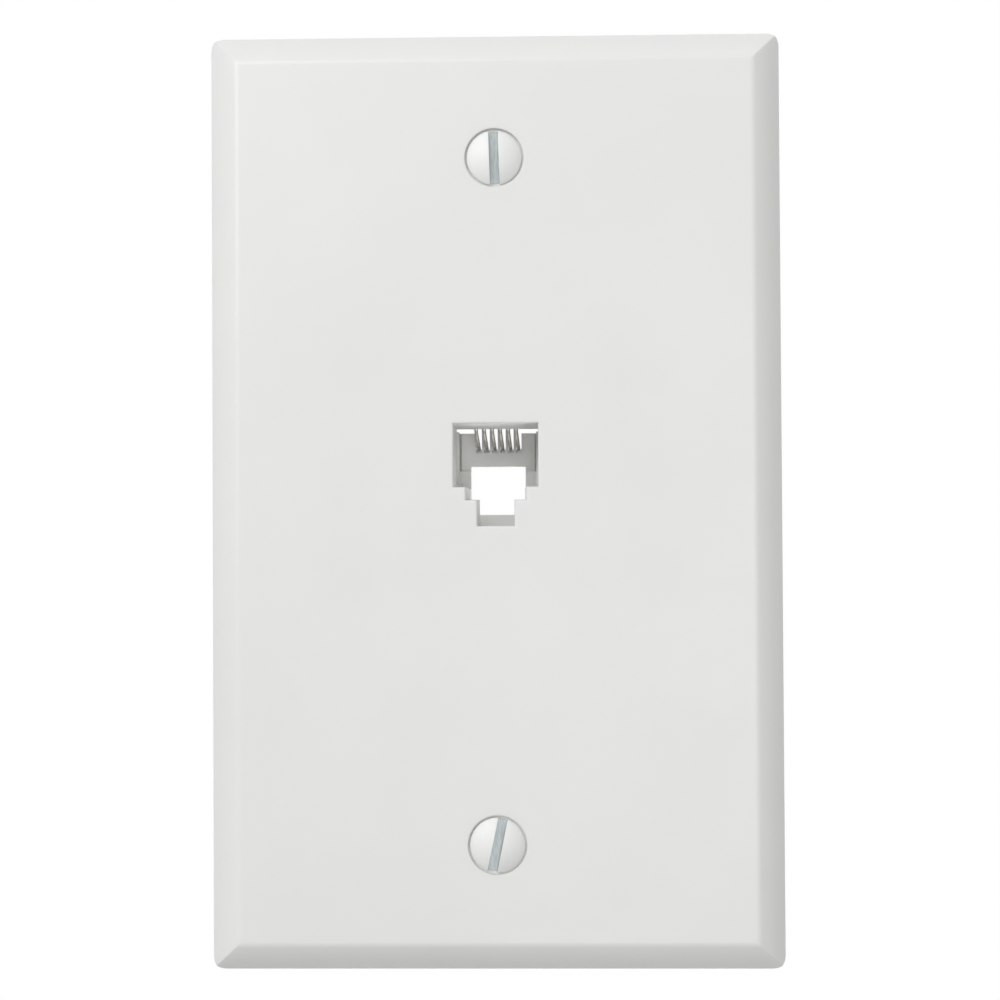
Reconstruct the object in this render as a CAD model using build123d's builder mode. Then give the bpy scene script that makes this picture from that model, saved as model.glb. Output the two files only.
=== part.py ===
from build123d import *
import os
from math import atan2, cos, hypot, pi, radians, sin, tan

os.makedirs("parts", exist_ok=True)

# A flush wall jack for one telephone line, one gang wide, in millimetres.
# The wall is the plane y = 0, the front faces -Y, +Z is up, and the origin is the middle of the plate's back.

# Plate
plate_width = 69.85
plate_height = 114.3
plate_depth = 5.6
plate_wall = 2.0
rim_height = 2.75
bevel_run = 3.5
bevel_rise = 0.28
bevel_overrun = 0.1
face_break = 1.2
corner_radius = 1.6
rib_thickness = 1.2
rib_rise = 2.4
ejector_diameter = 4.5
ejector_depth = 0.15
ejector_inset = 10

# Mounting screws, number 6 with an oval head
screw_spacing = 83.34
screw_diameter = 3.5
screw_length = 15.9
screw_head = 6.65
head_angle = 82
head_setback = 0.15
head_dome = 1.1
head_slot_width = 1.15
head_slot_depth = 1.35
top_slot_lean = -1.8
bottom_slot_lean = 11.8
tip_chamfer = 0.6
neck_diameter = 3.0
neck_lead = 0.25
hole_clearance = 0.2
seat_clearance = 0.05
rim_gap = 0.25
rim_recess = 0.45
boss_wall = 2.55
boss_gap = 0.4
boss_chamfer = 0.4

# Mouth for a six-position plug with its latch down
mouth_width = 10.3
mouth_top = 9.35
mouth_height = 7.7
mouth_depth = 9.4
ceiling_draft = 0.21
shoulder_width = 7.3
shoulder_drop = 1.6
shoulder_draft = 1.2
latch_width = 4.5
latch_drop = 3.15
mouth_edge = 0.22
tunnel_wall = 1.5

# Contact block, which snaps into a collar behind the mouth
block_wall = 1.3
block_gap = 0.1
block_inner_width = 9.76
block_rear_wall = 2.4
corner_groove = 0.16
corner_groove_depth = 0.6
block_depth = 13.4
block_floor = 2.6
rear_wall_drop = 0.54
head_depth = 5.0
head_clearance = 0.4
head_rise = 2.65
head_slope_drop = 1.0
head_slope_run = 1.4
cheek_thickness = 0.7
cheek_height = 6.5
window_width = 7.0
window_top = 4.52
window_bottom = -1.64
ramp_height = 1.5
leg_pad_depth = 0.6
leg_pad_top = 3.95
barb_reach = 0.8
barb_length = 2.0
barb_height = 4.0
barb_behind_mouth = 0.8
collar_wall = 1.5
collar_depth = 4.8
catch_gap = 0.1
catch_opening = 0.5

# Contact wires and the comb that they bend over
contact_count = 6
contact_pitch = 1.016
contact_diameter = 0.46
contact_slot = 0.54
contact_shift = 0.05
contact_side_offset = 0.22
contact_end_height = 7.05
contact_end_length = 0.5
contact_bend_height = 8.9
contact_bend_radius = 0.55
tooth_gap = 0.68
tooth_gap_shift = 0.06
tooth_rise = 0.3
pocket_width = 0.6
pocket_drop = 0.16
pocket_depth = 1.6
comb_width = 6.1
comb_front = 0.3
comb_thickness = 1.5
comb_bottom = 9.5
comb_end_wall = 1.7

# Terminals
terminal_x = 18.2
terminal_pitch = 12.5
terminal_height = 3.1
post_diameter = 8.0
post_top = 7.0
post_floor = 1.0
post_chamfer = 0.35
terminal_screw_diameter = 3.5
terminal_screw_length = 8.5
terminal_head = 6.8
terminal_head_height = 1.9
terminal_head_break = 0.5
terminal_slot_width = 1.0
terminal_slot_depth = 1.1
terminal_slot_turn = 25
washer_diameter = 7.5
washer_thickness = 0.6
washer_clearance = 0.25
lug_diameter = 7.0
lug_thickness = 0.5
lug_fork_gap = 3.8
lug_neck = 2.4
lug_shoulder = 4.4
barrel_wall = 0.55
barrel_length = 3.6
barrel_start = 5.0
barrel_seam = 0.16
crimp_radius = 1.1
crimp_depth = 0.35

# Leads from the block to the terminals
lead_diameter = 1.2
lead_clearance = 0.05
lead_pitch = 1.5
lead_seat = 1.6
lead_y_in_head = 3.4
bend_share = 0.45
run_on = 3.0
run_on_top = 4.5
loop_low = 5.2
loop_high = 9.0

# One row for each contact, from the left of the mouth as seen from the front: the lead's colour,
# its side and row of terminals, the angle of its lug from upright, how far the lead runs on past
# the lug, and how high it loops.
lead_plan = (
    ("white", -1, -1, 45, run_on, loop_low),
    ("black", -1, 0, 31.5, run_on, loop_high),
    ("red", -1, 1, 45, run_on_top, None),
    ("green", 1, 1, 45, run_on_top, None),
    ("yellow", 1, 0, 31.5, run_on, loop_high),
    ("blue", 1, -1, 45, run_on, loop_low),
)

# Places worked out from the sizes above
hollow_depth = plate_depth - plate_wall
bevel_drop = plate_depth - rim_height
bevel_turn = atan2(bevel_run, bevel_drop)
hollow_rim = rim_height - plate_wall * tan(bevel_turn / 2)
hollow_run = bevel_run * (hollow_depth - hollow_rim) / bevel_drop
mouth_floor = mouth_top - mouth_height
shoulder_floor = mouth_floor - shoulder_drop
latch_floor = shoulder_floor - latch_drop
mouth_end = mouth_depth - plate_depth
block_front = block_depth - plate_depth
block_half = block_inner_width / 2 + block_wall
block_bottom = window_bottom - block_floor
head_top = mouth_top + head_rise
head_bottom = mouth_top + head_clearance
head_back = block_front + head_depth
rear_wall_top = mouth_top - rear_wall_drop
collar_half = block_half + block_gap + collar_wall
collar_bottom = block_bottom - block_gap - collar_wall
collar_end = mouth_end + collar_depth
comb_top = comb_bottom + comb_thickness
comb_front_y = mouth_end + comb_front
tooth_foot = contact_end_height - contact_slot / 2
pocket_bottom = contact_end_height - hypot(contact_end_length, contact_diameter / 2) - pocket_drop
contact_places = [contact_pitch * (i - (contact_count - 1) / 2) + contact_shift for i in range(contact_count)]
lead_places = [lead_pitch * (i - (contact_count - 1) / 2) for i in range(contact_count)]
barrel_diameter = lead_diameter + 2 * (lead_clearance + barrel_wall)
half_head_angle = radians(head_angle / 2)
upright = Plane((0, 0, 0), x_dir=(0, 0, 1), z_dir=(-1, 0, 0))


def pillow(width, height, depth, rim, run, corner):
    """The plate's outside or its hollow: a rounded block cut by two crossed sections that mitre."""
    with BuildPart() as form:
        with BuildSketch(Plane.XZ):
            RectangleRounded(width, height, corner)
        extrude(amount=depth)
        for section, half, reach in (
            (Plane.XY, width / 2, height),
            (upright, height / 2, width),
        ):
            with BuildSketch(section) as outline:
                with BuildLine():
                    bevel = SagittaArc((half, -rim), (half - run, -depth), bevel_rise, mode=Mode.PRIVATE)
                    slope = ThreePointArc(bevel @ -bevel_overrun, bevel @ 0.5, bevel @ 1)
                    Polyline((0, 0), ((slope @ 0).X, 0), slope @ 0)
                    Line(slope @ 1, (0, -depth))
                    mirror(about=Plane.YZ)
                make_face()
                fillet(outline.vertices().group_by(Axis.Y)[0], radius=face_break)
            extrude(amount=reach, both=True, mode=Mode.INTERSECT)
    return form.part


# Outline of the mouth: plug body, shoulder and latch, one below another
with BuildSketch() as mouth_outline:
    with BuildLine():
        Polyline(
            (0, mouth_top),
            (mouth_width / 2, mouth_top),
            (mouth_width / 2, mouth_floor),
            (shoulder_width / 2, mouth_floor),
            (shoulder_width / 2, shoulder_floor),
            (latch_width / 2, shoulder_floor),
            (latch_width / 2, latch_floor),
            (0, latch_floor),
        )
        mirror(about=Plane.YZ)
    make_face()

# Wall plate: one moulding with the mouth's tunnel, the collar, two screw bosses and six terminal posts
with BuildPart() as wall_plate:
    add(pillow(plate_width, plate_height, plate_depth, rim_height, bevel_run, corner_radius))
    hollow_width = plate_width - 2 * plate_wall
    hollow_height = plate_height - 2 * plate_wall
    add(
        pillow(hollow_width, hollow_height, hollow_depth, hollow_rim, hollow_run, corner_radius / 2),
        mode=Mode.SUBTRACT,
    )

    # Ribs that tie the bosses, the collar and the posts together
    rib_base = Plane.XZ.offset(hollow_depth + plate_wall / 2)
    with BuildSketch(rib_base):
        Rectangle(rib_thickness, screw_spacing)
        for row in (-1, 0, 1):
            with Locations((0, terminal_height + row * terminal_pitch)):
                Rectangle(2 * terminal_x, rib_thickness)
        for side in (-1, 1):
            with Locations((side * terminal_x, terminal_height)):
                Rectangle(rib_thickness, 2 * terminal_pitch)
    extrude(amount=-(rib_rise + plate_wall / 2))

    # Bosses for the mounting screws, stopping short of the wall
    with BuildSketch(Plane.XZ.offset(boss_gap + boss_chamfer)) as boss_feet:
        with GridLocations(0, screw_spacing, 1, 2):
            Circle(screw_diameter / 2 + hole_clearance + boss_wall)
    extrude(amount=-boss_chamfer, taper=45)
    extrude(boss_feet.sketch, amount=plate_depth - plate_wall / 2 - boss_gap - boss_chamfer)

    # Terminal posts
    with BuildSketch(Plane.XZ.offset(-post_top)):
        with Locations((0, terminal_height)):
            with GridLocations(2 * terminal_x, terminal_pitch, 2, 3):
                Circle(post_diameter / 2)
    extrude(amount=post_top + hollow_depth + plate_wall / 2)

    # Tunnel round the mouth, and the collar behind it
    with BuildSketch(rib_base):
        add(mouth_outline.sketch)
        offset(amount=tunnel_wall, kind=Kind.INTERSECTION)
    extrude(amount=-(mouth_end + hollow_depth + plate_wall / 2))
    with BuildSketch(Plane.XZ.offset(-(mouth_end - collar_wall))):
        with Locations((0, collar_bottom)):
            Rectangle(2 * collar_half, head_top - collar_bottom, align=(Align.CENTER, Align.MIN))
    extrude(amount=-(collar_end - mouth_end + collar_wall))
    with BuildSketch(Plane.XZ.offset(-mouth_end)):
        with Locations((0, block_bottom - block_gap)):
            Rectangle(2 * (block_half + block_gap), plate_height, align=(Align.CENTER, Align.MIN))
    extrude(amount=-collar_depth, mode=Mode.SUBTRACT)

    # Catches in the collar's cheeks for the block's barbs
    catch_height = barb_height + 2 * catch_opening
    with BuildSketch(Plane.YZ.offset(-collar_half)):
        with Locations((mouth_end + barb_behind_mouth - catch_opening, terminal_height)):
            Rectangle(
                barb_length + catch_opening + catch_gap,
                catch_height,
                align=(Align.MIN, Align.CENTER),
            )
    extrude(amount=2 * collar_half, mode=Mode.SUBTRACT)

    # The mouth itself, from the face to the collar, drafted at the top and at the shoulders
    with BuildSketch(Plane.YZ):
        with BuildLine():
            Polyline(
                (-plate_depth, mouth_floor),
                (-plate_depth, mouth_top),
                (mouth_end, mouth_top - ceiling_draft),
                (mouth_end, mouth_floor),
                close=True,
            )
        make_face()
    extrude(amount=mouth_width / 2, both=True, mode=Mode.SUBTRACT)
    with BuildSketch(Plane.XZ.offset(plate_depth)):
        with Locations((0, shoulder_floor)):
            Rectangle(shoulder_width, 2 * shoulder_drop, align=(Align.CENTER, Align.MIN))
    extrude(amount=-mouth_depth, taper=shoulder_draft, mode=Mode.SUBTRACT)
    with BuildSketch(Plane.XZ.offset(plate_depth)):
        with Locations((0, latch_floor)):
            Rectangle(latch_width, latch_drop + shoulder_drop, align=(Align.CENTER, Align.MIN))
    extrude(amount=-mouth_depth, mode=Mode.SUBTRACT)

    # Countersunk holes for the mounting screws, each with a plain recess round the head's rim
    with Locations(Plane.XZ.offset(plate_depth)):
        with GridLocations(0, screw_spacing, 1, 2):
            CounterSinkHole(
                radius=screw_diameter / 2 + hole_clearance,
                counter_sink_radius=screw_head / 2 + head_setback * tan(half_head_angle) + seat_clearance,
                counter_sink_angle=head_angle,
            )
    with BuildSketch(Plane.XZ.offset(plate_depth)):
        with GridLocations(0, screw_spacing, 1, 2):
            Circle(screw_head / 2 + rim_gap)
    extrude(amount=-rim_recess, mode=Mode.SUBTRACT)

    # Screw holes in the posts, closed at the face
    with BuildSketch(Plane.XZ.offset(-post_top)):
        with Locations((0, terminal_height)):
            with GridLocations(2 * terminal_x, terminal_pitch, 2, 3):
                Circle(terminal_screw_diameter / 2 + hole_clearance / 2)
    extrude(amount=post_top + hollow_depth - post_floor, mode=Mode.SUBTRACT)
    chamfer(wall_plate.edges().filter_by(GeomType.CIRCLE).group_by(Axis.Y)[-1], length=post_chamfer)

    # Marks of the ejector pins in the floor of the hollow
    with BuildSketch(Plane.XZ.offset(hollow_depth)):
        with GridLocations(hollow_width - 2 * ejector_inset, hollow_height - 2 * ejector_inset, 2, 2):
            Circle(ejector_diameter / 2)
    extrude(amount=ejector_depth, mode=Mode.SUBTRACT)

    # Rounded edges of the mouth on the face
    face = wall_plate.faces().sort_by(Axis.Y)[0]
    mouth_wire = face.inner_wires().sort_by(lambda wire: abs(wire.center().Z))[0]
    fillet(mouth_wire.edges(), radius=mouth_edge)
wall_plate.part.label = "wall_plate"
export_step(wall_plate.part, "parts/wall_plate.step")

# Mounting screws: oval heads just below the face, a neck through the plate, and a thread from the wall on
for name, height, lean in (
    ("plate_screw_top", screw_spacing / 2, top_slot_lean),
    ("plate_screw_bottom", -screw_spacing / 2, bottom_slot_lean),
):
    rim_y = head_setback - plate_depth
    cone = (screw_head - neck_diameter) / 2 / tan(half_head_angle)
    tip_y = rim_y + screw_length
    with BuildPart() as plate_screw:
        with BuildSketch(Plane.XY.offset(height)):
            with BuildLine():
                Polyline(
                    (0, rim_y - head_dome),
                    (0, tip_y),
                    (screw_diameter / 2 - tip_chamfer, tip_y),
                    (screw_diameter / 2, tip_y - tip_chamfer),
                    (screw_diameter / 2, 0),
                    (neck_diameter / 2, -neck_lead),
                    (neck_diameter / 2, rim_y + cone),
                    (screw_head / 2, rim_y),
                )
                TangentArc((0, rim_y - head_dome), (screw_head / 2, rim_y), tangent=(1, 0))
            make_face()
        revolve(axis=Axis((0, 0, height), (0, 1, 0)))
        slot_plane = Plane((0, rim_y - head_dome, height), x_dir=(1, 0, 0), z_dir=(0, -1, 0))
        with BuildSketch(slot_plane):
            Rectangle(head_slot_width, 2 * screw_head, rotation=-lean)
        extrude(amount=-head_slot_depth, mode=Mode.SUBTRACT)
    plate_screw.part.label = name
    export_step(plate_screw.part, f"parts/{name}.step")

# Contact block: rear wall, head on two cheeks, arms and floor, combs, ramp and barbs in one moulding
with BuildPart() as contact_block:
    with BuildSketch(Plane.XZ.offset(-block_front)):
        with Locations((0, block_bottom)):
            Rectangle(2 * block_half, rear_wall_top - block_bottom, align=(Align.CENTER, Align.MIN))
    extrude(amount=-block_rear_wall)
    with BuildSketch(Plane.YZ):
        with BuildLine():
            Polyline(
                (block_front, head_bottom),
                (block_front, head_top - head_slope_drop),
                (block_front + head_slope_run, head_top),
                (head_back, head_top),
                (head_back, head_bottom),
                close=True,
            )
        make_face()
    extrude(amount=block_half, both=True)
    with BuildSketch(Plane.XY.offset(head_top - cheek_height)):
        with Locations((0, block_front + head_depth / 2)):
            Rectangle(2 * block_half, head_depth)
            Rectangle(2 * (block_half - cheek_thickness), head_depth, mode=Mode.SUBTRACT)
    extrude(amount=cheek_height - head_slope_drop)

    # Arms and floor, which carry the tunnel's walls on to the rear wall
    with BuildSketch(Plane.XZ.offset(-mouth_end)):
        with Locations((0, block_bottom)):
            Rectangle(2 * block_half, rear_wall_top - block_bottom, align=(Align.CENTER, Align.MIN))
        with Locations((0, mouth_floor)):
            Rectangle(block_inner_width, mouth_height, align=(Align.CENTER, Align.MIN), mode=Mode.SUBTRACT)
    extrude(amount=-(block_front - mouth_end))

    # Grooves in the corners between the arms and the rear wall
    with BuildSketch(Plane.XZ.offset(-block_front)):
        with Locations((0, leg_pad_top)):
            with GridLocations(block_inner_width - corner_groove, 0, 2, 1):
                Rectangle(corner_groove, rear_wall_top - leg_pad_top, align=(Align.CENTER, Align.MIN))
    extrude(amount=-corner_groove_depth, mode=Mode.SUBTRACT)

    # Pads at the foot of the rear wall
    with BuildSketch(Plane.XZ.offset(-block_front)):
        with Locations((0, mouth_floor)):
            Rectangle(block_inner_width, leg_pad_top - mouth_floor, align=(Align.CENTER, Align.MIN))
    extrude(amount=leg_pad_depth)

    # Window that the plug's latch reaches through, with a ramp along its lower edge
    with BuildSketch(Plane.XZ.offset(-mouth_end)):
        with Locations((0, window_bottom)):
            Rectangle(window_width, window_top - window_bottom, align=(Align.CENTER, Align.MIN))
    extrude(amount=-head_back, mode=Mode.SUBTRACT)
    with BuildSketch(Plane.YZ):
        with BuildLine():
            Polyline(
                (mouth_end, window_bottom),
                (block_front, window_bottom),
                (mouth_end, window_bottom - ramp_height),
                close=True,
            )
        make_face()
    extrude(amount=window_width / 2, both=True, mode=Mode.SUBTRACT)

    # Comb over the mouth, with a groove for each contact wire over its top and front
    with BuildSketch(Plane.YZ):
        with BuildLine():
            Polyline(
                (comb_front_y, comb_bottom),
                (comb_front_y, comb_top),
                (block_front + comb_end_wall, comb_top),
                (block_front + comb_end_wall, comb_bottom),
                close=True,
            )
        make_face()
    extrude(amount=comb_width / 2, both=True)
    for place in contact_places:
        with BuildSketch(Plane.YZ.offset(place - contact_side_offset)):
            with BuildLine():
                Polyline(
                    (comb_front_y, comb_bottom),
                    (comb_front_y + contact_slot, comb_bottom),
                    (comb_front_y + contact_slot, comb_top - contact_slot),
                    (block_front + comb_end_wall, comb_top - contact_slot),
                    (block_front + comb_end_wall, comb_top),
                    (comb_front_y, comb_top),
                    close=True,
                )
            make_face()
        extrude(amount=contact_slot / 2, both=True, mode=Mode.SUBTRACT)

    # Teeth between the contacts' free ends, open behind, with a blind pocket under each end
    with BuildSketch(Plane.XZ.offset(-block_front)):
        with Locations((contact_shift, rear_wall_top)):
            Rectangle(
                contact_pitch * (contact_count - 1),
                head_bottom - rear_wall_top,
                align=(Align.CENTER, Align.MIN),
            )
    extrude(amount=-block_rear_wall)
    with BuildSketch(Plane.XZ.offset(-block_front)):
        with Locations((contact_shift + tooth_gap_shift, tooth_foot)):
            with GridLocations(contact_pitch, 0, contact_count, 1):
                Rectangle(
                    tooth_gap,
                    head_bottom + tooth_rise - tooth_foot,
                    align=(Align.CENTER, Align.MIN),
                )
    extrude(amount=-block_rear_wall, mode=Mode.SUBTRACT)
    with BuildSketch(Plane.XZ.offset(-block_front)):
        with Locations((contact_shift, pocket_bottom)):
            with GridLocations(contact_pitch, 0, contact_count, 1):
                Rectangle(
                    pocket_width,
                    contact_end_height - pocket_bottom,
                    align=(Align.CENTER, Align.MIN),
                )
    extrude(amount=-pocket_depth, mode=Mode.SUBTRACT)

    # Seats for the leads in the top of the head
    with Locations(Plane.XY.offset(head_top)):
        with Locations((0, block_front + lead_y_in_head)):
            with GridLocations(lead_pitch, 0, contact_count, 1):
                Hole(radius=lead_diameter / 2 + lead_clearance, depth=lead_seat)

    # Barbs that snap into the collar
    with BuildSketch(Plane.XY.offset(terminal_height - barb_height / 2)):
        with BuildLine():
            Polyline(
                (block_half, mouth_end + barb_behind_mouth),
                (block_half, mouth_end + barb_behind_mouth + barb_length),
                (block_half + barb_reach, mouth_end + barb_behind_mouth + barb_length),
                close=True,
            )
        make_face()
        mirror(about=Plane.YZ)
    extrude(amount=barb_height)
contact_block.part.label = "contact_block"
export_step(contact_block.part, "parts/contact_block.step")

# Contact wires: from the head over the comb, then down and back between the teeth
wire_top = comb_top - contact_slot + contact_diameter / 2
wire_front = comb_front_y + contact_slot - contact_diameter / 2
for i, place in enumerate(contact_places, start=1):
    front_x = place - contact_side_offset
    bend = Vector(front_x, wire_front, contact_bend_height)
    entry = Vector(place, block_front, contact_end_height)
    with BuildPart() as contact_wire:
        with BuildLine() as wire_route:
            FilletPolyline(
                (front_x, block_front + comb_end_wall - contact_diameter, wire_top),
                (front_x, wire_front, wire_top),
                bend,
                entry + (entry - bend).normalized() * contact_end_length,
                radius=contact_bend_radius,
            )
        with BuildSketch(Plane(wire_route.wire() @ 0, z_dir=wire_route.wire() % 0)):
            Circle(contact_diameter / 2)
        sweep(path=wire_route.wire())
    contact_wire.part.label = f"contact_wire_{i}"
    export_step(contact_wire.part, f"parts/contact_wire_{i}.step")

# Terminals and leads, one set for each contact
for i, (colour, side, row, angle, past_lug, loop) in enumerate(lead_plan, start=1):
    terminal_z = terminal_height + row * terminal_pitch
    along = Vector(-side * sin(radians(angle)), 0, cos(radians(angle)))
    seat = Plane((side * terminal_x, post_top, terminal_z), x_dir=along, z_dir=(0, 1, 0))
    lead_axis = seat.origin + Vector(0, barrel_diameter / 2, 0)
    mouth_of_barrel = lead_axis + along * (barrel_start + barrel_length)

    # Spade lug: fork round the screw, neck and crimp barrel
    with BuildPart() as spade_lug:
        with BuildSketch(seat):
            Circle(lug_diameter / 2)
            with BuildLine():
                Polyline(
                    (0, 0),
                    (0, lug_shoulder / 2),
                    (barrel_start, lug_neck / 2),
                    (barrel_start + barrel_length, lug_neck / 2),
                    (barrel_start + barrel_length, 0),
                )
                mirror(about=Plane.XZ)
            make_face()
            Circle(lug_fork_gap / 2, mode=Mode.SUBTRACT)
            Rectangle(lug_diameter, lug_fork_gap, align=(Align.MAX, Align.CENTER), mode=Mode.SUBTRACT)
        extrude(amount=lug_thickness)
        with BuildSketch(Plane(lead_axis + along * barrel_start, z_dir=along)):
            Circle(barrel_diameter / 2)
            Circle(lead_diameter / 2 + lead_clearance, mode=Mode.SUBTRACT)
        extrude(amount=barrel_length)
        with BuildSketch(seat.offset(barrel_diameter / 2)):
            with Locations((barrel_start - barrel_wall, 0)):
                Rectangle(barrel_length + 2 * barrel_wall, barrel_seam, align=(Align.MIN, Align.CENTER))
        extrude(amount=barrel_diameter, mode=Mode.SUBTRACT)
        barrel_middle = lead_axis + along * (barrel_start + barrel_length / 2)
        with BuildSketch(Plane(barrel_middle, x_dir=along, z_dir=seat.y_dir)):
            with Locations((0, -(barrel_diameter / 2 + crimp_radius - crimp_depth))):
                Circle(crimp_radius)
        extrude(amount=barrel_diameter, both=True, mode=Mode.SUBTRACT)
    spade_lug.part.label = f"spade_lug_{i}"
    export_step(spade_lug.part, f"parts/spade_lug_{i}.step")

    with BuildPart() as terminal_washer:
        with BuildSketch(seat.offset(lug_thickness)):
            Circle(washer_diameter / 2)
            Circle(terminal_screw_diameter / 2 + washer_clearance, mode=Mode.SUBTRACT)
        extrude(amount=washer_thickness)
    terminal_washer.part.label = f"terminal_washer_{i}"
    export_step(terminal_washer.part, f"parts/terminal_washer_{i}.step")

    # Terminal screw: cheese head with a slot
    head_seat = seat.offset(lug_thickness + washer_thickness)
    with BuildPart() as terminal_screw:
        with BuildSketch(head_seat):
            Circle(terminal_head / 2)
        extrude(amount=terminal_head_height)
        fillet(terminal_screw.edges().group_by(Axis.Y)[-1], radius=terminal_head_break)
        with BuildSketch(head_seat):
            Circle(terminal_screw_diameter / 2)
        extrude(amount=-terminal_screw_length)
        chamfer(terminal_screw.edges().group_by(Axis.Y)[0], length=tip_chamfer)
        with BuildSketch(head_seat.offset(terminal_head_height)):
            Rectangle(terminal_slot_width, 2 * terminal_head, rotation=terminal_slot_turn * i)
        extrude(amount=-terminal_slot_depth, mode=Mode.SUBTRACT)
    terminal_screw.part.label = f"terminal_screw_{i}"
    export_step(terminal_screw.part, f"parts/terminal_screw_{i}.step")

    # Lead: up out of the head, over to its side and down into the barrel
    lead_y = block_front + lead_y_in_head
    turn = mouth_of_barrel + along * past_lug
    exit_x = lead_places[i - 1]
    points = [Vector(exit_x, lead_y, head_top - lead_seat)]
    if loop is None:
        points.append(Vector(exit_x, lead_y, turn.Z))
    else:
        points.append(Vector(exit_x, lead_y, head_top + loop))
        points.append(Vector(turn.X, lead_y, head_top + loop))
    points.append(turn)
    points.append(lead_axis + along * barrel_start)
    runs = [end - start for start, end in zip(points, points[1:])]
    radii = []
    for before, after in zip(runs, runs[1:]):
        half_turn = radians(before.get_angle(after)) / 2
        radii.append(bend_share * min(before.length, after.length) / tan(half_turn))
    with BuildPart() as lead:
        with BuildLine() as lead_route:
            FilletPolyline(*points, radius=radii)
        with BuildSketch(Plane(points[0], z_dir=runs[0])):
            Circle(lead_diameter / 2)
        sweep(path=lead_route.wire())
    lead_length = lead_route.wire().length
    lead_section = pi * (lead_diameter / 2) ** 2
    print(
        f"lead_{colour}",
        "radii",
        [round(radius, 1) for radius in radii],
        "length",
        round(lead_length, 1),
        "volume to section times length",
        round(lead.part.volume / lead_section / lead_length, 4),
    )
    lead.part.label = f"lead_{colour}"
    export_step(lead.part, f"parts/lead_{colour}.step")
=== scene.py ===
import math

import bmesh
import bpy
from mathutils import Matrix, Quaternion, Vector


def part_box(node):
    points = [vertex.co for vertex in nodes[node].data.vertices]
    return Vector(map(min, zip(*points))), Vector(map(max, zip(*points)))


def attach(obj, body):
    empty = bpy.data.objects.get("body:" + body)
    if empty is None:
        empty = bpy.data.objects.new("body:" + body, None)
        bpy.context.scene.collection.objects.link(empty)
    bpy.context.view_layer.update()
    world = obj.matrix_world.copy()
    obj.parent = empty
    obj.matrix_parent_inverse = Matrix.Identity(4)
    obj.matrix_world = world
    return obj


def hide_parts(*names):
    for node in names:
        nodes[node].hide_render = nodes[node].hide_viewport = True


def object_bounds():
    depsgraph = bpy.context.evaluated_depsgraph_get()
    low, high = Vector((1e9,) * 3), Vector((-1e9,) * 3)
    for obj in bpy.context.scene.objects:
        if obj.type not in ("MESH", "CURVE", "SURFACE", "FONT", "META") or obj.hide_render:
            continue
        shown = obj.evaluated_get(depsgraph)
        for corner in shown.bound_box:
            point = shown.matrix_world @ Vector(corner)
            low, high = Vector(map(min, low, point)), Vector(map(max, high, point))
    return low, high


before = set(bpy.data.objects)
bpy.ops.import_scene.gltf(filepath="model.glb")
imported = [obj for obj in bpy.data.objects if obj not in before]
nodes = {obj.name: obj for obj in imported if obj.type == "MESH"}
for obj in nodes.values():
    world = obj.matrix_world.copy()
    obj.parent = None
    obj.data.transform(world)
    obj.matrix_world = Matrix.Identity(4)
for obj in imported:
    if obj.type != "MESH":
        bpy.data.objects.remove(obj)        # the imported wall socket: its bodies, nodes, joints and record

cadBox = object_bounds()
mm = 0.001               # every size below is in millimetres, and Blender works in metres
body = "root"


class Wire:
    # One socket of a material. Sums on wires are written as plain Python and become nodes.
    def __init__(self, socket):
        self.socket = socket

    def node(self, kind, settings=None, inputs=None, output=0):
        tree = self.socket.id_data
        made = tree.nodes.new(kind)
        for name, value in (settings or {}).items():
            setattr(made, name, value)
        for name, value in (inputs or {}).items():
            slot = made.inputs[name]
            if isinstance(value, Wire):
                tree.links.new(value.socket, slot)
            elif slot.type in ("VECTOR", "RGBA") and isinstance(value, (int, float)):
                slot.default_value = (value,) * len(slot.default_value)
            else:
                slot.default_value = value
        return None if output is None else Wire(made.outputs[output])

    def sum(self, operation, *values):
        wide = any(isWide(value) for value in values)
        kind = "ShaderNodeVectorMath" if wide else "ShaderNodeMath"
        return self.node(kind, {"operation": operation}, dict(enumerate(values)))

    def __add__(self, other):
        return self.sum("ADD", self, other)

    def __radd__(self, other):
        return self.sum("ADD", other, self)

    def __sub__(self, other):
        return self.sum("SUBTRACT", self, other)

    def __rsub__(self, other):
        return self.sum("SUBTRACT", other, self)

    def __mul__(self, other):
        return self.sum("MULTIPLY", self, other)

    def __rmul__(self, other):
        return self.sum("MULTIPLY", other, self)

    def __truediv__(self, other):
        return self.sum("DIVIDE", self, other)

    def __abs__(self):
        return self.sum("ABSOLUTE", self)

    def axis(self, name):
        return self.node("ShaderNodeSeparateXYZ", {}, {0: self}, name)

    def rise(self, low, high):       # 0 below low, 1 above high, smooth between; high may be the lower
        ends = {"From Min": low, "From Max": high, "Value": self}
        return self.node("ShaderNodeMapRange", {"interpolation_type": "SMOOTHSTEP"}, ends)

    def noise(self, scale, detail=2.0, stretch=None):
        place = self if stretch is None else self * stretch
        return self.node("ShaderNodeTexNoise", {}, {"Vector": place, "Scale": scale, "Detail": detail})

    def between(self, first, second):      # first where the wire is 0, second where it is 1
        colours = {"Factor": self, 6: opaque(first), 7: opaque(second)}
        return self.node("ShaderNodeMix", {"data_type": "RGBA"}, colours, 2)


def isWide(value):
    if isinstance(value, Wire):
        return value.socket.type in ("VECTOR", "RGBA")
    return isinstance(value, (tuple, Vector))


def opaque(colour):
    return colour if isinstance(colour, Wire) or len(colour) == 4 else (*colour, 1.0)


def openFinish(name, second="Normal"):
    material = bpy.data.materials.new(name)
    material.use_nodes = True
    material.node_tree.nodes.clear()
    coords = material.node_tree.nodes.new("ShaderNodeTexCoord")
    place = Wire(coords.outputs["Object"]) / mm
    return material, place, Wire(coords.outputs[second])


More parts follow.
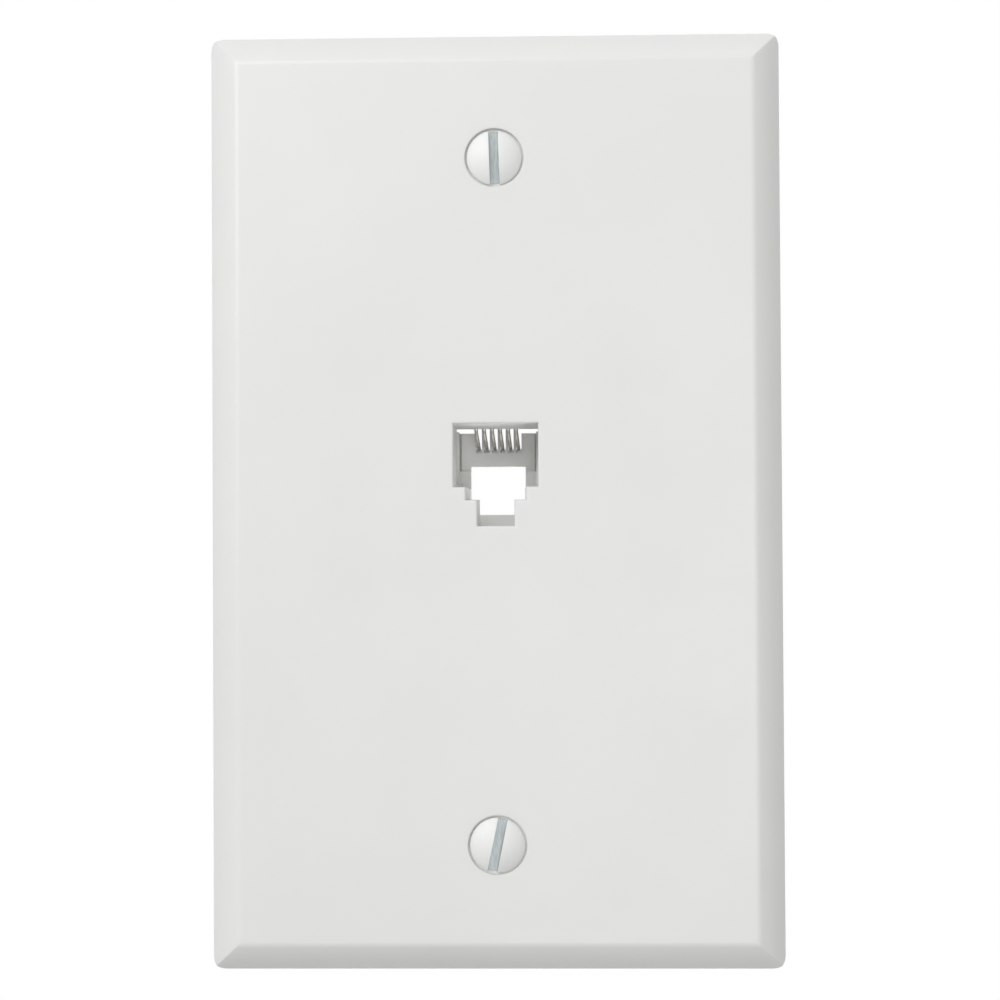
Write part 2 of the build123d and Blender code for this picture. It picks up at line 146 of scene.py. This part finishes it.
def closeFinish(place, sockets):
    shader = place.node("ShaderNodeBsdfPrincipled", {}, sockets)
    place.node("ShaderNodeOutputMaterial", {}, {"Surface": shader}, None)


def relief(place, height, depth, edge):
    # Fine relief of the given depth over edges that are rounded by the given radius, both in millimetres.
    soft = place.node("ShaderNodeBevel", {"samples": 2}, {"Radius": edge * mm})
    return place.node("ShaderNodeBump", {}, {"Distance": depth * mm, "Height": height, "Normal": soft})


# Finishes

patch = (0.3, 0.7)           # noise at which a patch of the other colour starts, and is full

plastic = {
    "index": 1.49,           # of refraction
    "glowTone": (1.0, 1.0, 0.94),    # how far red, green and blue go, as shares of glowReach
    "front": (-0.2, 0.3),    # how much a face looks out, from where the polish starts to where it is full
    "marks": (0.35, 0.65),   # noise at which a flow mark starts, and is full
    "markGloss": 0.08,       # by how much a mark changes the roughness
    "fine": 2.3,             # the finer bumps, against the grain
    "fineShare": 0.3,
}

plateFinish = {
    "colour": (0.800, 0.800, 0.788),
    "tint": (0.790, 0.792, 0.782),
    "gloss": 0.32,           # roughness of the polished front
    "core": 0.52,            # roughness of the inside
    "grain": 3.2,            # bumps to the millimetre
    "grainDepth": 0.0022,
    "flow": 0.06,            # flow marks to the millimetre
    "edge": 0.22,            # radius that an edge seems to have
    "glow": 0.35,            # share of the light that goes into the plastic
    "glowReach": 1.5,
}


def mouldedFinish(name, size):
    material, place, facing = openFinish(name)
    front = (-1 * facing.axis("Y")).rise(*plastic["front"])
    flow = place.noise(size["flow"], 3.0)
    grain = place.noise(size["grain"])
    fine = place.noise(size["grain"] * plastic["fine"], 3.0)
    height = grain * (1 - plastic["fineShare"]) + fine * plastic["fineShare"]
    polish = front * (size["gloss"] - size["core"])
    closeFinish(place, {
        "Base Color": flow.rise(*plastic["marks"]).between(size["colour"], size["tint"]),
        "Roughness": size["core"] + polish + (flow - 0.5) * plastic["markGloss"],
        "IOR": plastic["index"],
        "Subsurface Weight": size["glow"],
        "Subsurface Radius": plastic["glowTone"],
        "Subsurface Scale": size["glowReach"] * mm,
        "Normal": relief(place, height, size["grainDepth"], size["edge"]),
    })
    return material


blockFinish = {
    "colour": (0.860, 0.860, 0.846),
    "tint": (0.846, 0.848, 0.834),
    "gloss": 0.46,
    "core": 0.50,
    "grain": 4.0,
    "grainDepth": 0.003,
    "flow": 0.15,
    "edge": 0.08,
    "glow": 0.35,
    "glowReach": 1.8,
}

# A metal's grain is in lines to the millimetre.
metals = {
    "zinc": {
        "colour": (0.360, 0.395, 0.398),
        "shade": (0.280, 0.308, 0.312),
        "roughness": 0.33,
        "grain": 5.0,
    },
    "tin": {
        "colour": (0.640, 0.640, 0.625),
        "shade": (0.500, 0.500, 0.490),
        "roughness": 0.36,
        "grain": 4.0,
    },
    "nickel": {
        "colour": (0.600, 0.590, 0.560),
        "shade": (0.470, 0.460, 0.440),
        "roughness": 0.27,
        "grain": 3.0,
    },
    "brass": {
        "colour": (0.700, 0.545, 0.265),
        "shade": (0.560, 0.410, 0.180),
        "roughness": 0.30,
        "grain": 3.0,
    },
    "goldPlate": {
        "colour": (0.700, 0.682, 0.635),
        "shade": (0.590, 0.572, 0.525),
        "roughness": 0.22,
        "grain": 6.0,
    },
    "copper": {
        "colour": (0.720, 0.400, 0.270),
        "shade": (0.560, 0.290, 0.190),
        "roughness": 0.34,
        "grain": 8.0,
    },
}


plating = {
    "blotch": 0.25,          # patches and lines, against the metal's grain
    "lines": 2.0,
    "lineGloss": 0.22,       # by how much the lines change the roughness
    "depth": 0.0025,
    "edge": 0.06,
    "wireEdge": 0.02,
}


def metalFinish(name, metal, edge=plating["edge"]):
    material, place, _ = openFinish(name)
    blotch = place.noise(metal["grain"] * plating["blotch"], 3.0)
    lines = place.noise(metal["grain"] * plating["lines"], 3.0)
    closeFinish(place, {
        "Base Color": blotch.rise(*patch).between(metal["shade"], metal["colour"]),
        "Metallic": 1.0,
        "Roughness": metal["roughness"] + (lines - 0.5) * plating["lineGloss"],
        "Normal": relief(place, lines, plating["depth"], edge),
    })
    return material


turned = {
    "rings": 150,            # ridges and grooves across the head
    "ringShare": 0.35,       # their height, against the scratches
    "depth": 0.006,
    "blotch": 0.3,           # patches and scratches, against the metal's grain
    "scratch": 2.2,
    "streak": (1.0, 1.0, 0.3),
    "scratchGloss": 0.2,     # by how much a scratch changes the roughness
    "edge": 0.06,
}


def turnedFinish(name, metal, size):
    # Metal with the fine rings that a lathe leaves round the middle of the piece's own box.
    material, place, share = openFinish(name, "Generated")
    across, up = share.axis("X") - 0.5, share.axis("Z") - 0.5
    reach = across.node("ShaderNodeMath", {"operation": "SQRT"}, {0: across * across + up * up})
    rings = reach.node("ShaderNodeMath", {"operation": "SINE"}, {0: reach * size["rings"] * math.pi})
    blotch = place.noise(metal["grain"] * size["blotch"], 3.0)
    scratch = place.noise(metal["grain"] * size["scratch"], 3.0, size["streak"])
    closeFinish(place, {
        "Base Color": blotch.rise(*patch).between(metal["shade"], metal["colour"]),
        "Metallic": 1.0,
        "Roughness": metal["roughness"] + (scratch - 0.5) * size["scratchGloss"],
        "Normal": relief(place, rings * size["ringShare"] + scratch, size["depth"], size["edge"]),
    })
    return material


insulation = {
    "white": (0.800, 0.790, 0.755),
    "black": (0.022, 0.022, 0.024),
    "red": (0.560, 0.030, 0.026),
    "green": (0.030, 0.270, 0.085),
    "yellow": (0.820, 0.590, 0.050),
    "blue": (0.035, 0.105, 0.430),
}


sleeve = {
    "roughness": 0.36,
    "index": 1.52,
    "scuff": 1.3,            # scuffs and bumps to the millimetre
    "skin": 5.0,
    "skinDepth": 0.006,
    "dull": 0.86,            # colour of a scuff, as a share of the sleeve's own
    "scuffGloss": 0.16,
}


def leadFinish(name, colour):
    material, place, _ = openFinish(name)
    scuff = place.noise(sleeve["scuff"], 3.0)
    skin = place.noise(sleeve["skin"])
    dull = tuple(channel * sleeve["dull"] for channel in colour)
    closeFinish(place, {
        "Base Color": scuff.rise(*patch).between(dull, colour),
        "Roughness": sleeve["roughness"] + (scuff - 0.5) * sleeve["scuffGloss"],
        "IOR": sleeve["index"],
        "Normal": place.node("ShaderNodeBump", {}, {"Distance": sleeve["skinDepth"] * mm, "Height": skin}),
    })
    return material


def dress(name, material):
    for slot in nodes[name].material_slots:
        slot.material = material


# Meshes

weld = 0.002                 # points closer together than this become one
sharpTurn = 32               # an edge that turns by more degrees than this stays sharp


def newPiece(name, mesh, material):
    piece = bpy.data.objects.new(name, mesh)
    bpy.context.scene.collection.objects.link(piece)
    piece.data.materials.append(material)
    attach(piece, body)
    return piece


def meshFromRings(name, rings, first, last):
    # A closed skin over rings of points, with a fan to a point at each end.
    form = bmesh.new()
    rows = [[form.verts.new(point) for point in ring] for ring in rings]
    ends = form.verts.new(first), form.verts.new(last)
    around = len(rows[0])
    for index in range(around):
        after = (index + 1) % around
        form.faces.new((ends[0], rows[0][index], rows[0][after]))
        form.faces.new((ends[1], rows[-1][after], rows[-1][index]))
        for near, far in zip(rows, rows[1:]):
            form.faces.new((near[index], far[index], far[after], near[after]))
    bmesh.ops.recalc_face_normals(form, faces=form.faces)
    mesh = bpy.data.meshes.new(name)
    form.to_mesh(mesh)
    form.free()
    return mesh


def settle(piece):
    # Turns the piece's modifiers into plain mesh.
    graph = bpy.context.evaluated_depsgraph_get()
    mesh = bpy.data.meshes.new_from_object(piece.evaluated_get(graph))
    piece.modifiers.clear()
    piece.data = mesh


def cutAway(piece, corners, turn):
    # Takes a box out of the piece. The corners are the box's own, and turn places it.
    form = bmesh.new()
    low, high = Vector(corners[0]), Vector(corners[1])
    bmesh.ops.create_cube(form, size=1.0)
    for vert in form.verts:
        share = vert.co + Vector((0.5, 0.5, 0.5))
        vert.co = turn @ Vector(a + (b - a) * s for a, b, s in zip(low, high, share))
    mesh = bpy.data.meshes.new("cutter")
    form.to_mesh(mesh)
    form.free()
    cutter = bpy.data.objects.new("cutter", mesh)
    bpy.context.scene.collection.objects.link(cutter)
    modifier = piece.modifiers.new("slot", "BOOLEAN")
    modifier.object = cutter
    modifier.solver = "EXACT"
    settle(piece)
    bpy.data.objects.remove(cutter)


def breakEdges(piece, width, sharpest, wanted):
    # Rounds the wanted edges that turn by more than the given angle.
    form = bmesh.new()
    form.from_mesh(piece.data)
    bmesh.ops.remove_doubles(form, verts=form.verts, dist=weld * mm)
    chosen = [
        edge
        for edge in form.edges
        if len(edge.link_faces) == 2
        and edge.calc_face_angle(0.0) > sharpest
        and all(wanted(vert.co) for vert in edge.verts)
    ]
    bmesh.ops.bevel(
        form, geom=chosen, offset=width * mm, segments=2, profile=0.5, affect="EDGES", clamp_overlap=True
    )
    form.to_mesh(piece.data)
    form.free()


def smoothShade(piece):
    for polygon in piece.data.polygons:
        polygon.use_smooth = True
    piece.data.set_sharp_from_angle(angle=math.radians(sharpTurn))


# Mounting screws: painted oval heads with bare slots and a rolled thread

plateScrew = {
    "dome": 1.1,             # height of the head's crown
    "rim": 0.05,             # narrow band round the head
    "coneAngle": 82,
    "neck": 3.0,             # plain neck from the cone to the wall, where the rolled thread starts
    "neckLead": 0.25,
    "shank": 3.5,
    "threadPitch": 0.794,    # thirty-two turns to the inch
    "threadDepth": 0.42,
    "threadSlope": 1.25,     # steepness of the groove's sides
    "threadCrest": 0.12,     # what stays flat on the crest
    "tipChamfer": 0.6,
    "slotWidth": 1.15,
    "slotDepth": 1.35,
    "leans": {"plate_screw_top": -1.8, "plate_screw_bottom": 11.8},      # degrees from upright
    "around": 60,
    "rowsPerTurn": 10,
    "domeRows": 12,
    "coneRows": (0.3, 0.65, 1.0),
    "softEdge": 0.045,
    "sharpest": 35,          # edges that turn by more degrees than this are rounded
    "paint": (0.850, 0.852, 0.842),
    "paintShade": (0.830, 0.832, 0.825),
    "paintRoughness": 0.50,
    "paintEnds": (0.03, -0.005),     # outside the slot's side, where the paint is whole and where it is gone
    "paintRun": 0.15,        # from the rim down the cone, to where the paint is gone
    "chips": 4.0,            # uneven paint, in bumps to the millimetre
    "chipShare": 0.6,        # its height, against the brushed metal
    "brush": 9.0,
    "brushStreak": (1.0, 0.4, 0.12),
    "finishDepth": 0.004,
    "finishEdge": 0.03,
}


def screwRows(size, top, tip, head):
    # Rows down the screw: place along it, radius, and how deep the thread is cut there.
    crown = (head ** 2 + size["dome"] ** 2) / 2 / size["dome"]
    rows = []
    for step in range(1, size["domeRows"] + 1):
        radius = head * step / size["domeRows"]
        rows.append((top + crown - math.sqrt(crown ** 2 - radius ** 2), radius, 0.0))
    rimEnd = top + size["dome"] + size["rim"]
    rows.append((rimEnd, head, 0.0))
    neck, shank = size["neck"] / 2, size["shank"] / 2
    coneRun = (head - neck) / math.tan(math.radians(size["coneAngle"] / 2))
    for share in size["coneRows"]:
        rows.append((rimEnd + coneRun * share, head + (neck - head) * share, 0.0))
    rows.append((-size["neckLead"], neck, 0.0))
    step = size["threadPitch"] / size["rowsPerTurn"]
    place = 0.0
    while place < tip - step / 2:
        fade = min(place / size["threadPitch"], (tip - place) / size["tipChamfer"], 1.0)
        taper = max(0.0, 1 - (tip - place) / size["tipChamfer"]) * size["tipChamfer"]
        rows.append((place, shank - taper, size["threadDepth"] * max(fade, 0.0)))
        place += step
    rows.append((tip, shank - size["tipChamfer"], 0.0))
    return rows


def groove(size, phase):
    # 0 on the thread's crest, 1 at its root.
    valley = 1 - abs(2 * (phase % 1.0) - 1)
    return min(max(size["threadSlope"] * valley - size["threadCrest"], 0.0), 1.0)


def screwFinish(name, size, centre, lean):
    material, place, _ = openFinish(name)
    metal = metals["zinc"]
    across = (place.axis("X") - centre[0]) * math.cos(lean) - (place.axis("Z") - centre[1]) * math.sin(lean)
    whole, gone = (size["slotWidth"] / 2 + end for end in size["paintEnds"])
    inSlot = abs(across).rise(whole, gone)
    below = place.axis("Y").rise(centre[2], centre[2] + size["paintRun"])
    bare = place.node("ShaderNodeClamp", {}, {0: inSlot + below})
    chips = place.noise(size["chips"], 3.0)
    brushed = place.noise(size["brush"], stretch=size["brushStreak"])
    painted = chips.rise(*patch).between(size["paint"], size["paintShade"])
    plated = brushed.rise(*patch).between(metal["shade"], metal["colour"])
    height = bare * brushed + (1 - bare) * chips * size["chipShare"]
    closeFinish(place, {
        "Base Color": bare.between(painted, plated),
        "Metallic": bare,
        "Roughness": size["paintRoughness"] + bare * (metal["roughness"] - size["paintRoughness"]),
        "Normal": relief(place, height, size["finishDepth"], size["finishEdge"]),
    })
    return material


def buildPlateScrew(node):
    size = plateScrew
    low, high = (Vector(corner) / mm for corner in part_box(node))
    middle = (low + high) / 2
    head = (high.x - low.x) / 2
    rows = screwRows(size, low.y, high.y, head)
    rings = []
    for place, radius, depth in rows:
        ring = []
        for index in range(size["around"]):
            angle = 2 * math.pi * index / size["around"]
            reach = radius - depth * groove(size, place / size["threadPitch"] + index / size["around"])
            spot = middle.x + reach * math.cos(angle), place, middle.z + reach * math.sin(angle)
            ring.append(Vector(spot) * mm)
        rings.append(ring)
    first = Vector((middle.x, low.y, middle.z)) * mm
    last = Vector((middle.x, high.y, middle.z)) * mm
    lean = math.radians(size["leans"][node])
    rimPlace = low.y + size["dome"] + size["rim"]
    finish = screwFinish(node + "_finish", size, (middle.x, middle.z, rimPlace), lean)
    piece = newPiece(node + "_threaded", meshFromRings(node, rings, first, last), finish)
    turn = Matrix.Translation(first) @ Matrix.Rotation(lean, 4, "Y")
    half = size["slotWidth"] / 2
    corners = Vector((-half, -head, -2 * head)) * mm, Vector((half, size["slotDepth"], 2 * head)) * mm
    cutAway(piece, corners, turn)
    breakEdges(piece, size["softEdge"], math.radians(size["sharpest"]), lambda spot: spot.y < rimPlace * mm)
    smoothShade(piece)
    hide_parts(node)


for node in plateScrew["leans"]:
    buildPlateScrew(node)
print("plate screws built")


# The CAD pieces that keep their own shape

dress("wall_plate", mouldedFinish("plate_plastic", plateFinish))
dress("contact_block", mouldedFinish("block_plastic", blockFinish))
goldWire = metalFinish("contact_plating", metals["goldPlate"], plating["wireEdge"])
tinned = metalFinish("lug_tin", metals["tin"])
washerNickel = metalFinish("washer_nickel", metals["nickel"])
terminalBrass = turnedFinish("terminal_brass", metals["brass"], turned)
for name in nodes:
    if name.startswith("contact_wire"):
        dress(name, goldWire)
    elif name.startswith("spade_lug"):
        dress(name, tinned)
    elif name.startswith("terminal_washer"):
        dress(name, washerNickel)
    elif name.startswith("terminal_screw"):
        dress(name, terminalBrass)
for colourName, colour in insulation.items():
    dress("lead_" + colourName, leadFinish(colourName + "_insulation", colour))
print("finishes on", len(nodes), "nodes")


# Bare strands that show past each lug's barrel

strand = {
    "count": 7,
    "radius": 0.17,
    "spread": 0.36,          # from the middle strand to the ring of others
    "reach": 0.75,
    "uneven": 0.12,          # by how much the cut ends differ
    "unevenStep": 2.4,       # radians of its wave from one strand to the next
    "splay": 1.15,
    "inside": 0.4,           # length hidden in the barrel
    "tipRun": 0.04,          # bevel of the cut end
    "tipShare": 0.7,
    "barrel": 1.2,           # outer radius of the lug's barrel
    "endDepth": 0.1,         # points of the lead this near to the nearest one make its end
    "around": 10,
}


def meanOf(points):
    return sum(points, Vector()) / len(points)


def buildStrands(index, colourName, finish):
    lead = nodes["lead_" + colourName]
    screwLow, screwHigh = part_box(f"terminal_screw_{index}")
    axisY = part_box(f"spade_lug_{index}")[1][1] - strand["barrel"] * mm
    screw = Vector(((screwLow[0] + screwHigh[0]) / 2, axisY, (screwLow[2] + screwHigh[2]) / 2))
    nearest = min((vert.co - screw).length for vert in lead.data.vertices)
    farthest = nearest + strand["endDepth"] * mm
    end = meanOf([vert.co for vert in lead.data.vertices if (vert.co - screw).length < farthest])
    end.y = axisY
    along = (screw - end).normalized()
    side = along.cross(Vector((0, 1, 0)))
    form = bmesh.new()
    for number in range(strand["count"]):
        turn = 2 * math.pi * number / (strand["count"] - 1)
        spread = strand["spread"] if number else 0.0
        offset = (side * math.cos(turn) + Vector((0, math.sin(turn), 0))) * spread * mm
        reach = strand["reach"] + strand["uneven"] * math.sin(number * strand["unevenStep"] + index)
        start = end + offset - along * strand["inside"] * mm
        tip = end + offset * strand["splay"] + along * reach * mm
        neck = tip - along * strand["tipRun"] * mm
        rings = []
        for middle, share in ((start, 1.0), (neck, 1.0), (tip, strand["tipShare"])):
            ring = []
            for step in range(strand["around"]):
                angle = 2 * math.pi * step / strand["around"]
                way = side * math.cos(angle) + Vector((0, math.sin(angle), 0))
                ring.append(form.verts.new(middle + way * strand["radius"] * share * mm))
            rings.append(ring)
        form.faces.new(rings[0])
        form.faces.new(rings[-1])
        for near, far in zip(rings, rings[1:]):
            for step in range(strand["around"]):
                after = (step + 1) % strand["around"]
                form.faces.new((near[step], near[after], far[after], far[step]))
    bmesh.ops.recalc_face_normals(form, faces=form.faces)
    mesh = bpy.data.meshes.new("strands")
    form.to_mesh(mesh)
    form.free()
    piece = newPiece(f"lead_{colourName}_strands", mesh, finish)
    smoothShade(piece)


bareCopper = metalFinish("strand_copper", metals["copper"], plating["wireEdge"])
for index, colourName in enumerate(insulation, start=1):
    buildStrands(index, colourName, bareCopper)
print("strands built")


# Stage, lamps and camera

stage = {
    "floorDrop": 100,        # from the plate's lower edge to the floor
    "floorSpan": 330,        # half the floor's width
    "floorSides": 96,
    "floorFade": (0.5, 0.98),    # shares of the span at which the floor starts to fade, and is gone
    "floorColour": (0.42, 0.42, 0.415, 1.0),
    "floorGlow": 0.68,       # what lifts the unshaded floor to white for the camera
    "ambient": 0.45,         # the world's light on the object
}


def pathSeen(tree):
    # 1 for what the camera sees, straight or through metal and glass.
    path = tree.nodes.new("ShaderNodeLightPath")
    rays = [Wire(path.outputs[name]) for name in ("Is Camera Ray", "Is Glossy Ray", "Is Transmission Ray")]
    seen = rays[0] + rays[1] + rays[2]
    return seen.node("ShaderNodeClamp", {}, {0: seen})


def buildWorld():
    world = bpy.data.worlds.new("studio")
    bpy.context.scene.world = world
    world.use_nodes = True
    world.node_tree.nodes.clear()
    seen = pathSeen(world.node_tree)
    strength = stage["ambient"] + seen * (1 - stage["ambient"])
    glow = seen.node("ShaderNodeBackground", {}, {"Color": (1.0, 1.0, 1.0, 1.0), "Strength": strength})
    seen.node("ShaderNodeOutputWorld", {}, {"Surface": glow}, None)


def buildFloor():
    span = stage["floorSpan"] * mm
    level = cadBox[0][2] - stage["floorDrop"] * mm
    form = bmesh.new()
    bmesh.ops.create_circle(form, cap_ends=True, radius=span, segments=stage["floorSides"])
    mesh = bpy.data.meshes.new("floor")
    form.to_mesh(mesh)
    form.free()
    floor = bpy.data.objects.new("floor", mesh)
    floor.location = (0, 0, level)
    bpy.context.scene.collection.objects.link(floor)
    material = bpy.data.materials.new("floor_white")
    material.use_nodes = True
    tree = material.node_tree
    tree.nodes.clear()
    seen = pathSeen(tree)
    coords = Wire(tree.nodes.new("ShaderNodeTexCoord").outputs["Object"])
    reach = coords.node("ShaderNodeVectorMath", {"operation": "LENGTH"}, {0: coords}, "Value")
    matt = coords.node("ShaderNodeBsdfDiffuse", {}, {"Color": stage["floorColour"]})
    glow = coords.node("ShaderNodeEmission", {}, {"Strength": seen * stage["floorGlow"]})
    lit = coords.node("ShaderNodeAddShader", {}, {0: matt, 1: glow})
    clear = coords.node("ShaderNodeBsdfTransparent")
    fadeStart, fadeEnd = (share * span for share in stage["floorFade"])
    faded = coords.node("ShaderNodeMixShader", {}, {0: reach.rise(fadeStart, fadeEnd), 1: lit, 2: clear})
    coords.node("ShaderNodeOutputMaterial", {}, {"Surface": faded}, None)
    mesh.materials.append(material)


lamps = {
    "key": {"place": (-330, -520, 380), "size": 600, "power": 3.0},
    "fill": {"place": (150, -560, -60), "size": 420, "power": 0.55},
    "back": {"place": (230, 440, 260), "size": 500, "power": 0.8},
    "low": {"place": (60, 260, -100), "size": 150, "power": 0.42},
}


def buildLamp(name, size):
    light = bpy.data.lights.new(name, "AREA")
    light.shape = "DISK"
    light.size = size["size"] * mm
    light.energy = size["power"]
    lamp = bpy.data.objects.new(name, light)
    lamp.location = Vector(size["place"]) * mm
    lamp.rotation_euler = (-lamp.location).to_track_quat("-Z", "Y").to_euler()
    bpy.context.scene.collection.objects.link(lamp)


photoView = {
    "place": (5.99, -235.6, -3.86),
    "target": (0.51, -5.6, 0.04),
    "roll": -0.31,           # degrees
    "lens": 68.38,
    "sensor": 36.0,
    "nearest": 10,           # what is closer than this isn't drawn
}


def buildCamera():
    lens = bpy.data.cameras.new("camera")
    lens.lens = photoView["lens"]
    lens.sensor_width = photoView["sensor"]
    lens.clip_start = photoView["nearest"] * mm
    camera = bpy.data.objects.new("camera", lens)
    place = Vector(photoView["place"]) * mm
    aim = (Vector(photoView["target"]) * mm - place).to_track_quat("-Z", "Y")
    roll = Quaternion((0, 0, 1), math.radians(photoView["roll"]))
    camera.location = place
    camera.rotation_euler = (aim @ roll).to_euler()
    bpy.context.scene.collection.objects.link(camera)
    bpy.context.scene.camera = camera


buildWorld()
buildFloor()
for lampName, lampSize in lamps.items():
    buildLamp(lampName, lampSize)
buildCamera()
bpy.context.scene.view_settings.view_transform = "Standard"
print("stage, lamps and camera set")
